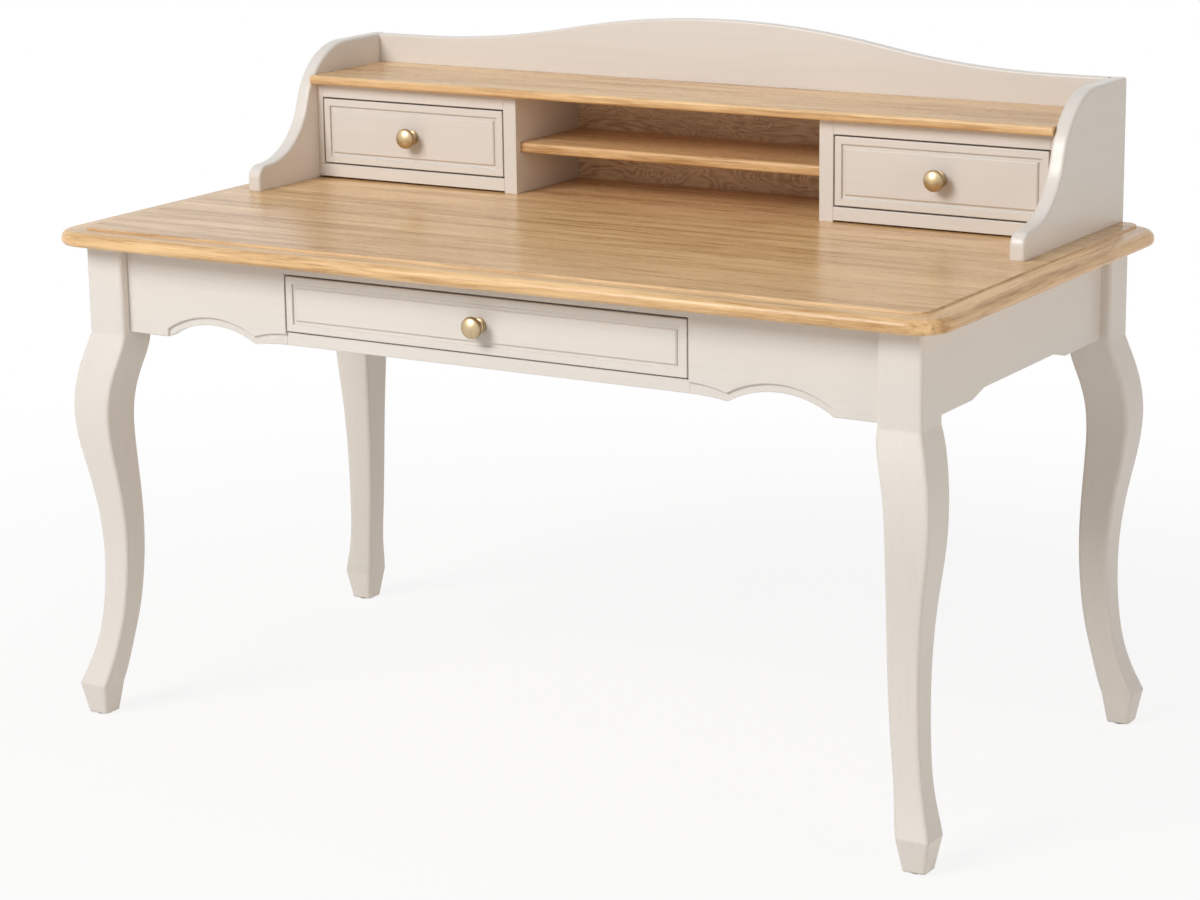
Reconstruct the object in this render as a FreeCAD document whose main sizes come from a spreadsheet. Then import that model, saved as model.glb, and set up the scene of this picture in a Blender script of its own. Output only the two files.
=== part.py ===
"""A country writing desk: cabriole legs, scalloped aprons, three drawers and a low hutch on the top.

Millimetres, +Z up. The origin is on the floor under the middle of the top, and the front faces -Y.
Pieces that come in pairs are drawn on the right and mirrored to the left.
"""
import FreeCAD, Part
import math
import os
from types import SimpleNamespace

import Sketcher

# Driving sizes
SIZES = {
    # desk top: a stepped field inside a rounded nosing
    "top_width": 1460,
    "top_depth": 776,
    "top_height": 760,
    "top_thick": 25,
    "top_corner": 52,
    "nose_upper": 12,
    "nose_lower": 8,
    "step_rise": 3,
    "step_inset": 35,
    "step_back": 5,
    "step_corner": 24,
    "step_ease": 1.2,
    # legs
    "leg_overhang": 40,
    "leg_block": 65,
    "leg_arris": 5,
    "leg_throw": 31,
    "knee_drop": 3,
    "toe_height": 50,
    "glide_thick": 3,
    "glide_radius": 12,
    # aprons and front rails
    "apron_thick": 22,
    "apron_reveal": 15,
    "apron_height": 132,
    "apron_ease": 1,
    "arch_rise": 22,
    "cusp_lift": 3.5,
    "band_height": 11.5,
    "band_depth": 4,
    "rail_lift": 8,
    "low_rail_height": 19,
    "top_rail_height": 18.5,
    "side_block": 126,
    "side_slope": 38,
    "side_rise": 10,
    # centre drawer and what carries it
    "opening_width": 672,
    "drawer_length": 440,
    "ledge_width": 26,
    "guide_thick": 24,
    "guide_height": 45,
    "kicker_width": 44,
    "stop_length": 20,
    "stop_height": 20,
    # all drawers
    "drawer_gap": 2.5,
    "drawer_slip": 0.3,
    "drawer_headroom": 4,
    "front_thick": 20,
    "side_thick": 12,
    "small_front_thick": 18,
    "small_side_thick": 10,
    "bottom_thick": 5,
    "bottom_lift": 8,
    "bottom_groove": 5,
    "front_ease": 1.2,
    "border": 11,
    "groove_width": 5,
    "groove_depth": 3,
    "field_bevel": 2,
    # corner blocks, bolts, screws and dowels
    "corner_gap": 3,
    "corner_thick": 20,
    "corner_height": 80,
    "bolt_radius": 4,
    "bolt_bite": 45,
    "bolt_tail": 3,
    "bolt_inset": 20,
    "nut_radius": 7.5,
    "nut_thick": 6.5,
    "screw_radius": 2,
    "screw_head": 4,
    "screw_head_thick": 3,
    "screw_seat": 6,
    "screw_bite": 14,
    "top_screw_seat": 15,
    "hutch_screw_length": 50,
    "dowel_radius": 4,
    "dowel_length": 30,
    "pin_radius": 3,
    "pin_length": 20,
    "hole_fit": 0.1,
    # hutch
    "hutch_inset": 64,
    "hutch_depth": 357,
    "hutch_height": 213,
    "hutch_back_gap": 6,
    "end_thick": 23,
    "end_ease": 4,
    "toe_lift": 20,
    "toe_round": 20,
    "scroll_run": 230,
    "crest_thick": 16,
    "crest_rise": 53,
    "crest_flat": 83,
    "crest_ease": 3,
    "cell_height": 153,
    "cell_depth": 195,
    "shelf_thick": 14,
    "shelf_depth": 214,
    "shelf_ease": 4.5,
    "panel_thick": 7,
    "cubby_width": 530,
    "divider_thick": 23,
    "cubby_shelf_height": 64,
    "cubby_shelf_thick": 16,
    "cubby_setback": 13,
    "housing_depth": 5,
    "cell_rail_thick": 18,
    "cell_low_rail": 20,
    "cell_top_rail": 22,
    "cell_floor_gap": 3,
    "cell_floor_thick": 10,
    "cell_guide_height": 30,
    "cell_kicker_width": 16,
    "stile_width": 10,
    # brass knobs
    "knob_radius": 16,
    "knob_bulge": 9,
    "knob_shoulder": 6,
    "knob_neck": 7,
    "knob_reach": 20,
    "rose_radius": 12,
    "rose_thick": 3,
    "rose_ease": 1,
    "knob_screw_bite": 12,
    # easing of plain boards, and how far a cut runs past what it cuts
    "board_ease": 0.8,
    "overrun": 1,
    # how near a plane an edge lies to count as being in it
    "nearness": 0.001,
}

# Leg stations from the knee down to the toe: height between them, outer throw and inner throw, as shares
LEG_STATION_SHARES = [
    (1.0, 0.0, 0.0),
    (0.9, 0.48, 0.31),
    (0.8, 0.71, 0.65),
    (0.7, 0.61, 0.68),
    (0.6, 0.32, 0.60),
    (0.5, 0.07, 0.53),
    (0.4, -0.05, 0.53),
    (0.3, -0.04, 0.62),
    (0.2, 0.09, 0.81),
    (0.1, 0.41, 1.11),
    (0.045, 0.71, 1.29),
    (0.0, 1.0, 1.48),
]
FOOT_SHARES = (0.73, 1.71)
ARCH_START_SHARE = 0.25
ARCH_CUSP_SHARE = 0.80
BAND_RAIL_SHARE = 0.85
NOSE_UPPER_SHARE = 0.55
NOSE_LOWER_SHARE = 0.40
SHELF_ROUND_SHARE = 0.45
BEVEL_SHARE = 0.9
TOP_SCREW_SHARE = 0.25
KICKER_SCREW_SHARE = 0.65
HUTCH_SCREW_SHARES = (0.2, 0.8)
END_PIN_SHARES = (0.2, 0.75)
SHELF_PIN_SHARES = (0.25, 0.75)
CREST_PIN_SHARES = (-0.7, 0.0, 0.7)

X, Y, Z = (1, 0, 0), (0, 1, 0), (0, 0, 1)
DIAGONAL = (math.sqrt(0.5), -math.sqrt(0.5), 0)


class Size:
    """A length: its value now, and the sheet expression that keeps it tied."""

    def __init__(self, text, value):
        self.text = text
        self.value = value

    def __add__(self, other):
        other = as_size(other)
        return Size(f"({self.text} + {other.text})", self.value + other.value)

    def __sub__(self, other):
        other = as_size(other)
        return Size(f"({self.text} - {other.text})", self.value - other.value)

    def __mul__(self, other):
        other = as_size(other)
        return Size(f"({self.text} * {other.text})", self.value * other.value)

    def __truediv__(self, other):
        other = as_size(other)
        return Size(f"({self.text} / {other.text})", self.value / other.value)

    def __neg__(self):
        return Size(f"(-{self.text})", -self.value)

    __radd__ = __add__
    __rmul__ = __mul__

    def root(self):
        return Size(f"sqrt({self.text})", math.sqrt(self.value))

    def at_most(self, other):
        return Size(f"min({self.text}; {other.text})", min(self.value, other.value))


def as_size(number):
    return number if isinstance(number, Size) else Size(repr(number), number)


doc = FreeCAD.newDocument("writing_desk")
sheet = doc.addObject("Spreadsheet::Sheet", "Sizes")
for row, (name, number) in enumerate(SIZES.items(), start=1):
    sheet.set(f"A{row}", name)
    sheet.set(f"B{row}", str(number))
    sheet.setAlias(f"B{row}", name)
doc.recompute()
s = SimpleNamespace(**{name: Size(f"Sizes.{name}", number) for name, number in SIZES.items()})

# Faces and heights that several pieces share
half_width, half_depth = s.top_width / 2, s.top_depth / 2
top_under = s.top_height - s.top_thick
leg_x, leg_y = half_width - s.leg_overhang, half_depth - s.leg_overhang
leg_in_x, leg_in_y = leg_x - s.leg_block, leg_y - s.leg_block
apron_x, apron_y = leg_x - s.apron_reveal, leg_y - s.apron_reveal
apron_in_x, apron_in_y = apron_x - s.apron_thick, apron_y - s.apron_thick
apron_low = top_under - s.apron_height
knee_z = apron_low - s.knee_drop
opening_x = s.opening_width / 2
rail_low = apron_low + s.rail_lift
rail_top = rail_low + s.low_rail_height
opening_top = top_under - s.top_rail_height
centre_drawer_back = -apron_y + s.front_thick + s.drawer_length

hutch_back = half_depth - s.hutch_back_gap
hutch_x = half_width - s.hutch_inset
hutch_in_x = hutch_x - s.end_thick
hutch_top = s.top_height + s.hutch_height
shelf_low = s.top_height + s.cell_height
shelf_top = shelf_low + s.shelf_thick
panel_face = hutch_back - s.panel_thick
cell_face = hutch_back - s.cell_depth
cell_rail_back = cell_face + s.cell_rail_thick
cubby_x = s.cubby_width / 2
divider_x = cubby_x + s.divider_thick
stile_x = hutch_in_x - s.stile_width
cell_low = s.top_height + s.cell_floor_gap + s.cell_low_rail
cell_top = shelf_low - s.cell_top_rail
cubby_shelf_low = s.top_height + s.cubby_shelf_height
cubby_shelf_top = cubby_shelf_low + s.cubby_shelf_thick
cubby_shelf_front = cell_face + s.cubby_setback

# Corner blocks: distances from the inner corner of the aprons, added along both of them
corner_near = (s.leg_block - s.apron_reveal - s.apron_thick) * 2 + s.corner_gap * math.sqrt(2)
corner_far = corner_near + s.corner_thick * math.sqrt(2)
corner_mid = (corner_near + corner_far) / 2
corner_low = top_under - s.corner_height
bolt_heights = (corner_low + s.bolt_inset, top_under - s.bolt_inset)
top_screw_z = top_under - s.top_screw_seat

parts = {}
corners = {}


# Helpers: binding, placing and the basic features
def bind(thing, prop, length):
    thing.setExpression(prop, as_size(length).text)


def place(thing, x, y, z):
    for axis, length in zip("xyz", (x, y, z)):
        bind(thing, f"Placement.Base.{axis}", length)


def keep(label, thing):
    thing.Label = label
    parts[label] = thing
    return thing


def new_body(label, corner=(0, 0, 0)):
    body = doc.addObject("PartDesign::Body", label)
    body.Label = label
    corners[body.Name] = corner
    place(body, *corner)
    return body


def feature(body, kind):
    made = body.newObject(f"PartDesign::{kind}", f"{body.Name}_{kind}")
    body.Tip = made
    return made


def block(body, kind, x, y, z):
    """Add or take away a box given by its low and high faces."""
    made = feature(body, kind)
    for prop, (low, high) in zip(("Length", "Width", "Height"), (x, y, z)):
        bind(made, prop, high - low)
    place(made, *(span[0] - start for span, start in zip((x, y, z), corners[body.Name])))
    doc.recompute()
    return made


def soften(body, edges, radius, kind="Fillet"):
    """Round, or bevel, the named edges of what the body holds so far; no names means every edge."""
    base = body.Tip
    made = feature(body, kind)
    made.Base = (base, edges or ["Edge1"])
    made.UseAllEdges = not edges
    bind(made, "Radius" if kind == "Fillet" else "Size", radius)
    doc.recompute()
    return made


def edges_where(body, test):
    return [f"Edge{i}" for i, edge in enumerate(body.Tip.Shape.Edges, start=1) if test(edge)]


def lies_at(edge, axis, length):
    """Whether a whole edge lies in the plane where the axis has this value, in the body's own frame."""
    box = edge.BoundBox
    ends = getattr(box, f"{axis}Min"), getattr(box, f"{axis}Max")
    return all(abs(end - as_size(length).value) < s.nearness.value for end in ends)


def board(label, x, y, z, ease=None):
    """A straight board between low and high faces, with its arrises eased."""
    body = new_body(label, (x[0], y[0], z[0]))
    block(body, "AdditiveBox", x, y, z)
    if ease:
        soften(body, [], ease)
    return keep(label, body)


def turned(thing, direction):
    turn = FreeCAD.Rotation(FreeCAD.Vector(Z), FreeCAD.Vector(direction))
    thing.Placement = FreeCAD.Placement(FreeCAD.Vector(), turn)


def hole(body, direction, centre, length, radius):
    """Drill a round hole whose middle is at centre."""
    made = feature(body, "SubtractiveCylinder")
    turned(made, direction)
    bind(made, "Radius", radius)
    bind(made, "Height", length)
    starts = (c - length * (d / 2) - k for c, d, k in zip(centre, direction, corners[body.Name]))
    place(made, *starts)
    doc.recompute()
    return made


def rod(name, direction, centre, length, radius, sides=0):
    """A round rod, or a prism with flat sides, whose middle is at centre."""
    made = doc.addObject("Part::Prism" if sides else "Part::Cylinder", name)
    turned(made, direction)
    if sides:
        made.Polygon = sides
    bind(made, "Circumradius" if sides else "Radius", radius)
    bind(made, "Height", length)
    place(made, *(c - length * (d / 2) for c, d in zip(centre, direction)))
    return made


def mirrored(label, source, normal=X):
    twin = doc.addObject("Part::Mirroring", label)
    twin.Source = source
    twin.Normal = normal
    return twin


def group(label, members):
    made = doc.addObject("Part::Compound", label)
    made.Links = members
    return keep(label, made)


def pair(label, right):
    """Keep a right-hand piece and its mirror image as one node."""
    return group(label, [right, mirrored(f"{label}_twin", right)])


def screw(name, direction, seat, shank):
    """A screw whose head rests on seat and whose shank runs on along direction."""
    middle = tuple(c + shank * (d / 2) for c, d in zip(seat, direction))
    cap = tuple(c - s.screw_head_thick * (d / 2) for c, d in zip(seat, direction))
    made = doc.addObject("Part::Fuse", name)
    made.Base = rod(f"{name}_shank", direction, middle, shank, s.screw_radius)
    made.Tool = rod(f"{name}_head", direction, cap, s.screw_head_thick, s.screw_head)
    return made


# Helpers: sketches
def sketch_on(body, role, offset):
    plane = next(f for f in body.Origin.OriginFeatures if f.Role == role)
    made = body.newObject("Sketcher::SketchObject", f"{body.Name}_sketch")
    made.AttachmentSupport = (plane, [""])
    made.MapMode = "FlatFace"
    bind(made, "AttachmentOffset.Base.z", offset)
    return made


def arc_between(start, end, radius, turn):
    """The short arc from start to end that turns left (1) or right (-1)."""
    chord = end - start
    rise = math.sqrt(max(radius ** 2 - chord.Length ** 2 / 4, 0))
    left = FreeCAD.Vector(-chord.y, chord.x, 0).normalize()
    centre = (start + end) / 2 + left * rise * turn
    first, last = (start, end) if turn > 0 else (end, start)
    angles = [math.atan2(p.y - centre.y, p.x - centre.x) for p in (first, last)]
    return Part.ArcOfCircle(Part.Circle(centre, FreeCAD.Vector(Z), radius), *angles)


def draw(sketch, path):
    """Draw a closed outline; a corner is (x, y), or (x, y, radius, turn) where an arc leads to it."""
    ends = []
    for here, there in zip(path, path[1:] + path[:1]):
        start, end = (FreeCAD.Vector(as_size(p[0]).value, as_size(p[1]).value, 0) for p in (here, there))
        if len(there) == 2:
            sketch.addGeometry(Part.LineSegment(start, end))
            ends.append((1, 2))
        else:
            sketch.addGeometry(arc_between(start, end, there[2].value, there[3]))
            ends.append((1, 2) if there[3] > 0 else (2, 1))
    count = len(path)
    for i, corner in enumerate(path):
        after = (i + 1) % count
        sketch.addConstraint(Sketcher.Constraint("Coincident", i, ends[i][1], after, ends[after][0]))
        for kind, length in zip(("DistanceX", "DistanceY"), corner):
            number = as_size(length).value
            made = sketch.addConstraint(Sketcher.Constraint(kind, -1, 1, i, ends[i][0], number))
            bind(sketch, f"Constraints[{made}]", length)
        if len(corner) > 2:
            made = sketch.addConstraint(Sketcher.Constraint("Radius", (i - 1) % count, corner[2].value))
            bind(sketch, f"Constraints[{made}]", corner[2])
    doc.recompute()
    return sketch


def rounded(x, y, near_radius, far_radius):
    """The outline of a rectangle with rounded corners: one radius at low y, one at high y."""
    (left, right), (low, high) = x, y
    return [
        (left + near_radius, low, near_radius, 1),
        (right - near_radius, low),
        (right, low + near_radius, near_radius, 1),
        (right, high - far_radius),
        (right - far_radius, high, far_radius, 1),
        (left + far_radius, high),
        (left, high - far_radius, far_radius, 1),
        (left, low + near_radius),
    ]


def extrude(body, role, offset, path, length, kind="Pad"):
    sketch = draw(sketch_on(body, role, offset), path)
    made = feature(body, kind)
    made.Profile = sketch
    bind(made, "Length", length)
    doc.recompute()
    return made


def bow(start, end, rise):
    """The radius of the arc between two corners that stands off its chord by rise."""
    across, along = start[0] - end[0], start[1] - end[1]
    return (across * across + along * along) / (rise * 8) + rise / 2


def sweep_radius(run, rise):
    """The radius of an arc that starts level and climbs rise over run."""
    return (run * run + rise * rise) / (rise * 2)


# Desk top
def make_desk_top():
    body = new_body("desk_top")
    layer = s.top_thick - s.step_rise
    lip = top_under + layer
    across, along = (-half_width, half_width), (-half_depth, half_depth)
    extrude(body, "XY_Plane", top_under, rounded(across, along, s.top_corner, s.top_corner), layer)
    upper = s.nose_upper.at_most(layer * NOSE_UPPER_SHARE)
    lower = s.nose_lower.at_most(layer * NOSE_LOWER_SHARE)
    soften(body, edges_where(body, lambda e: lies_at(e, "Z", lip)), upper)
    soften(body, edges_where(body, lambda e: lies_at(e, "Z", top_under)), lower)
    across = (-half_width + s.step_inset, half_width - s.step_inset)
    along = (-half_depth + s.step_inset, half_depth - s.step_back)
    extrude(body, "XY_Plane", lip, rounded(across, along, s.step_corner, s.step_corner), s.step_rise)
    soften(body, edges_where(body, lambda e: lies_at(e, "Z", s.top_height)), s.step_ease)
    return keep("desk_top", body)


# Legs
def leg_section(outer_share, inner_share):
    """The square of the front right leg where its faces have moved out by these shares of the throw."""
    outer, inner = s.leg_throw * outer_share, s.leg_throw * inner_share
    across, along = (leg_in_x + inner, leg_x + outer), (-leg_y - outer, -leg_in_y - inner)
    return rounded(across, along, s.leg_arris, s.leg_arris)


def loft(body, stations, ruled):
    made_sketches = [draw(sketch_on(body, "XY_Plane", z), leg_section(*shares)) for z, shares in stations]
    made = feature(body, "AdditiveLoft")
    made.Profile = made_sketches[0]
    made.Sections = made_sketches[1:]
    made.Ruled = ruled
    doc.recompute()
    return made


def leg_bolt_centre():
    """The middle of a leg bolt, and its length: from the leg, through the corner block, to past the nut."""
    inside = s.corner_gap + s.corner_thick + s.nut_thick + s.bolt_tail
    length = s.bolt_bite + inside
    offset = (s.bolt_bite - inside) / 2
    return (leg_in_x + offset * DIAGONAL[0], -leg_in_y + offset * DIAGONAL[1]), length


def make_legs():
    body = new_body("leg_front_right")
    extrude(body, "XY_Plane", knee_z, leg_section(0.0, 0.0), top_under - knee_z)
    rise = knee_z - s.toe_height
    loft(body, [(s.toe_height + rise * share, throws) for share, *throws in LEG_STATION_SHARES], False)
    toe_shares = LEG_STATION_SHARES[-1][1:]
    loft(body, [(s.toe_height, toe_shares), (s.glide_thick, FOOT_SHARES)], True)
    (x, y), length = leg_bolt_centre()
    for z in bolt_heights:
        hole(body, DIAGONAL, (x, y, z), length + s.hole_fit * 2, s.bolt_radius + s.hole_fit)
    keep("leg_front_right", body)
    left = keep("leg_front_left", mirrored("leg_front_left", body))
    keep("leg_back_right", mirrored("leg_back_right", body, Y))
    keep("leg_back_left", mirrored("leg_back_left", left, Y))


def make_glides():
    shift = s.leg_throw * (sum(FOOT_SHARES) / 2) - s.leg_block / 2
    x, y = leg_x + shift, leg_y + shift
    feet = [(x * i, y * j, s.glide_thick / 2) for i in (-1, 1) for j in (-1, 1)]
    glides = [rod(f"glide_{i}", Z, foot, s.glide_thick, s.glide_radius) for i, foot in enumerate(feet)]
    group("foot_glides", glides)


# Aprons and the rails around the drawer
def make_front_aprons():
    body = new_body("front_apron_right")
    panel = leg_in_x - opening_x
    cusp_x, arch_x = leg_in_x - panel * ARCH_CUSP_SHARE, leg_in_x - panel * ARCH_START_SHARE
    cusp, arch_end = (cusp_x, apron_low + s.cusp_lift), (arch_x, apron_low)
    shoulder = sweep_radius(cusp_x - opening_x, s.rail_lift - s.cusp_lift)
    outline = [
        (opening_x, rail_low),
        (*cusp, shoulder, -1),
        (*arch_end, bow(cusp, arch_end, s.arch_rise), -1),
        (leg_in_x, apron_low),
        (leg_in_x, top_under),
        (opening_x, top_under),
    ]
    extrude(body, "XZ_Plane", apron_in_y, outline, s.apron_thick)
    band_end, band_cusp = (arch_x, apron_low + s.band_height), (cusp_x, cusp[1] + s.band_height)
    band_rail = (opening_x, rail_low + s.low_rail_height * BAND_RAIL_SHARE)
    band = [
        (opening_x - s.overrun, apron_low - s.overrun),
        (arch_x, apron_low - s.overrun),
        band_end,
        (*band_cusp, bow(band_end, band_cusp, s.arch_rise), 1),
        (*band_rail, sweep_radius(cusp_x - opening_x, band_rail[1] - band_cusp[1]), 1),
        (opening_x - s.overrun, band_rail[1]),
    ]
    extrude(body, "XZ_Plane", apron_y, band, s.band_depth, "Pocket")

    def on_face(edge):
        hidden = lies_at(edge, "Z", top_under) or lies_at(edge, "X", opening_x)
        return lies_at(edge, "Y", -apron_y) and not hidden

    soften(body, edges_where(body, on_face), s.apron_ease, "Chamfer")
    return keep("front_apron_right", body)


def make_side_apron():
    body = new_body("side_apron_right")
    far, near = leg_in_y, leg_in_y - s.side_block
    inner = near - s.side_slope
    raised = apron_low + s.side_rise
    outline = [
        (-far, apron_low),
        (-near, apron_low),
        (-inner, raised),
        (inner, raised),
        (near, apron_low),
        (far, apron_low),
        (far, top_under),
        (-far, top_under),
    ]
    extrude(body, "YZ_Plane", apron_in_x, outline, s.apron_thick)

    def on_face(edge):
        return lies_at(edge, "X", apron_x) and not lies_at(edge, "Z", top_under)

    soften(body, edges_where(body, on_face), s.apron_ease)
    return keep("side_apron_right", body)


def make_rails():
    across = (-opening_x, opening_x)
    front, sunk = (-apron_y, -apron_in_y), (-apron_y + s.band_depth, -apron_in_y)
    top_rail = board("front_top_rail", across, front, (opening_top, top_under), s.board_ease)
    low_rail = board("front_bottom_rail", across, sunk, (rail_low, rail_top), s.board_ease)
    ends, back = (-leg_in_x, leg_in_x), (apron_in_y, apron_y)
    back_apron = board("back_apron", ends, back, (apron_low, top_under), s.apron_ease)
    return top_rail, low_rail, back_apron


# What carries the centre drawer
def make_runner():
    outer = opening_x + s.guide_thick
    along = (-apron_in_y, apron_in_y)
    body = new_body("drawer_runner_right", (opening_x - s.ledge_width, along[0], rail_low))
    block(body, "AdditiveBox", (opening_x - s.ledge_width, outer), along, (rail_low, rail_top))
    block(body, "AdditiveBox", (opening_x, outer), along, (rail_top, rail_top + s.guide_height))
    return keep("drawer_runner_right", body)


def make_kicker():
    body = new_body("drawer_kicker_right", (opening_x - s.kicker_width, -apron_in_y, opening_top))
    across, along = (opening_x - s.kicker_width, opening_x), (-apron_in_y, apron_in_y)
    block(body, "AdditiveBox", across, along, (opening_top, top_under))
    return body


def make_stops():
    start = centre_drawer_back + s.drawer_slip
    corner = (opening_x - s.ledge_width, start, rail_top)
    body = new_body("drawer_stop_right", corner)
    across, along = (corner[0], opening_x - s.drawer_gap), (start, start + s.stop_length)
    block(body, "AdditiveBox", across, along, (rail_top, rail_top + s.stop_height))
    pair("drawer_stops", body)


# Dowels, bolts and screws of the stand
def join_with_dowels(apron, top_rail, low_rail, back, runner, kicker):
    """Dowels between the rails, runners, kickers and aprons, and the holes that they fill."""
    rail_face = -apron_y + s.band_depth
    guide_x, guide_z = opening_x + s.guide_thick / 2, rail_top + s.guide_height / 2
    kicker_x, kicker_z = opening_x - s.kicker_width / 2, (opening_top + top_under) / 2
    joints = [
        (X, opening_x, -(apron_y + apron_in_y) / 2, kicker_z, (apron, top_rail)),
        (X, opening_x, (rail_face - apron_in_y) / 2, (rail_low + rail_top) / 2, (apron, low_rail)),
        (Y, guide_x, -apron_in_y, guide_z, (apron, runner)),
        (Y, guide_x, apron_in_y, guide_z, (back, runner)),
        (Y, kicker_x, -apron_in_y, kicker_z, (top_rail, kicker)),
        (Y, kicker_x, apron_in_y, kicker_z, (back, kicker)),
    ]
    reach, bore = s.dowel_length + s.hole_fit * 2, s.dowel_radius + s.hole_fit
    dowels = []
    for number, (direction, x, y, z, joined) in enumerate(joints):
        for body in joined:
            both_sides = body in (top_rail, low_rail, back)
            for middle in ((x, y, z), (-x, y, z)) if both_sides else ((x, y, z),):
                hole(body, direction, middle, reach, bore)
        for side, middle in enumerate(((x, y, z), (-x, y, z))):
            name = f"rail_dowel_{number}_{side}"
            dowels.append(rod(name, direction, middle, s.dowel_length, s.dowel_radius))
    group("rail_dowels", dowels)


def four_corners(label, members):
    """Keep pieces of the front right corner, with their mirror images at the other three, as one node."""
    first = doc.addObject("Part::Compound", f"{label}_first")
    first.Links = members
    left = mirrored(f"{label}_left", first)
    backs = [mirrored(f"{label}_back_{i}", corner, Y) for i, corner in enumerate((first, left))]
    return group(label, [first, left, *backs])


def make_corner_blocks(front_apron, side_apron, back_apron):
    sx, fy = apron_in_x, -apron_in_y
    body = new_body("corner_block_first")
    outline = [(sx, fy + corner_near), (sx, fy + corner_far), (sx - corner_far, fy), (sx - corner_near, fy)]
    extrude(body, "XY_Plane", corner_low, outline, s.corner_height)
    (bolt_x, bolt_y), bolt_length = leg_bolt_centre()
    inside = s.corner_gap + s.corner_thick + s.nut_thick / 2
    nut_x, nut_y = leg_in_x - inside * DIAGONAL[0], -leg_in_y - inside * DIAGONAL[1]
    bolts, nuts, screws = [], [], []
    shank, bore = s.screw_bite + s.screw_seat, s.screw_radius + s.hole_fit
    counterbore = s.corner_thick * 2
    pilot = s.screw_bite * 2 + s.hole_fit * 2
    for number, z in enumerate(bolt_heights):
        hole(body, DIAGONAL, (bolt_x, bolt_y, z), bolt_length + s.hole_fit * 2, s.bolt_radius + s.hole_fit)
        bolts.append(rod(f"leg_bolt_{number}", DIAGONAL, (bolt_x, bolt_y, z), bolt_length, s.bolt_radius))
        nut = doc.addObject("Part::Cut", f"leg_nut_{number}")
        nut.Base = rod(f"leg_nut_blank_{number}", DIAGONAL, (nut_x, nut_y, z), s.nut_thick, s.nut_radius, 6)
        thread = (nut_x, nut_y, z), s.nut_thick + s.overrun * 2, s.bolt_radius + s.hole_fit
        nut.Tool = rod(f"leg_nut_thread_{number}", DIAGONAL, *thread)
        nuts.append(nut)
        # a screw into each apron: its seat, the pilot in the apron and the counterbore in the block
        into_side = (X, (sx - s.screw_seat, fy + corner_mid, z), (sx, fy + corner_mid, z))
        into_front = ((0, -1, 0), (sx - corner_mid, fy + s.screw_seat, z), (sx - corner_mid, fy, z))
        for direction, seat, meeting in (into_side, into_front):
            name = f"corner_screw_{number}_{len(screws)}"
            screws.append(screw(name, direction, seat, shank))
            away = tuple(c - counterbore * (d / 2) for c, d in zip(seat, direction))
            hole(body, direction, meeting, s.screw_seat * 2 + s.overrun, bore)
            hole(body, direction, away, counterbore, s.screw_head + s.hole_fit)
        for x in (sx - corner_mid, corner_mid - sx):
            hole(back_apron, Y, (x, -fy, z), pilot, bore)
        hole(front_apron, Y, (sx - corner_mid, fy, z), pilot, bore)
        for y in (fy + corner_mid, -fy - corner_mid):
            hole(side_apron, X, (sx, y, z), pilot, bore)
    # the hole for the screw that holds the top
    x, y = top_screw_place()
    hole(body, Z, (x, y, top_screw_z), s.top_screw_seat * 2 + s.overrun, bore)
    depth = top_screw_z - corner_low
    hole(body, Z, (x, y, top_screw_z - (depth + s.overrun) / 2), depth + s.overrun, s.screw_head + s.hole_fit)
    four_corners("corner_blocks", [body])
    four_corners("leg_bolts", bolts)
    four_corners("leg_nuts", nuts)
    four_corners("corner_block_screws", screws)


def top_screw_place():
    return apron_in_x - corner_mid * TOP_SCREW_SHARE, -apron_in_y + corner_mid * (1 - TOP_SCREW_SHARE)


def make_top_screws(top, kicker):
    """Screws up into the top through the corner blocks and the kickers."""
    shank = s.top_screw_seat * 2
    bore = s.screw_radius + s.hole_fit
    kicker_place = (opening_x - s.kicker_width / 2, -apron_in_y * KICKER_SCREW_SHARE)
    screws = []
    for number, (x, y) in enumerate((top_screw_place(), kicker_place)):
        screws.append(screw(f"top_screw_{number}", Z, (x, y, top_screw_z), shank))
        for place_x in (x, -x):
            for place_y in (y, -y):
                hole(top, Z, (place_x, place_y, top_under), shank + s.hole_fit * 2, bore)
    x, y = kicker_place
    depth = top_screw_z - opening_top
    for place_y in (y, -y):
        hole(kicker, Z, (x, place_y, top_under), s.top_rail_height * 2 + s.overrun * 2, bore)
        start = top_screw_z - (depth + s.overrun) / 2
        hole(kicker, Z, (x, place_y, start), depth + s.overrun, s.screw_head + s.hole_fit)
    four_corners("top_screws", screws)


# Hutch
def make_hutch_end():
    body = new_body("hutch_side_right")
    toe = hutch_back - s.hutch_depth
    toe_top = s.top_height + s.toe_lift + s.toe_round
    run, rise = s.scroll_run / 2, (hutch_top - toe_top) / 2
    bend = sweep_radius(run, rise)
    sweep = toe + s.toe_round
    outline = [
        (toe, s.top_height),
        (hutch_back, s.top_height),
        (hutch_back, hutch_top),
        (sweep + s.scroll_run, hutch_top),
        (sweep + run, toe_top + rise, bend, 1),
        (sweep, toe_top, bend, -1),
        (toe, s.top_height + s.toe_lift, s.toe_round, 1),
    ]
    extrude(body, "YZ_Plane", hutch_in_x, outline, s.end_thick)

    def on_scroll(edge):
        on_face = lies_at(edge, "X", hutch_in_x) or lies_at(edge, "X", hutch_x)
        return on_face and not lies_at(edge, "Z", s.top_height) and not lies_at(edge, "Y", hutch_back)

    soften(body, edges_where(body, on_scroll), s.end_ease)
    return keep("hutch_side_right", body)


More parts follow.
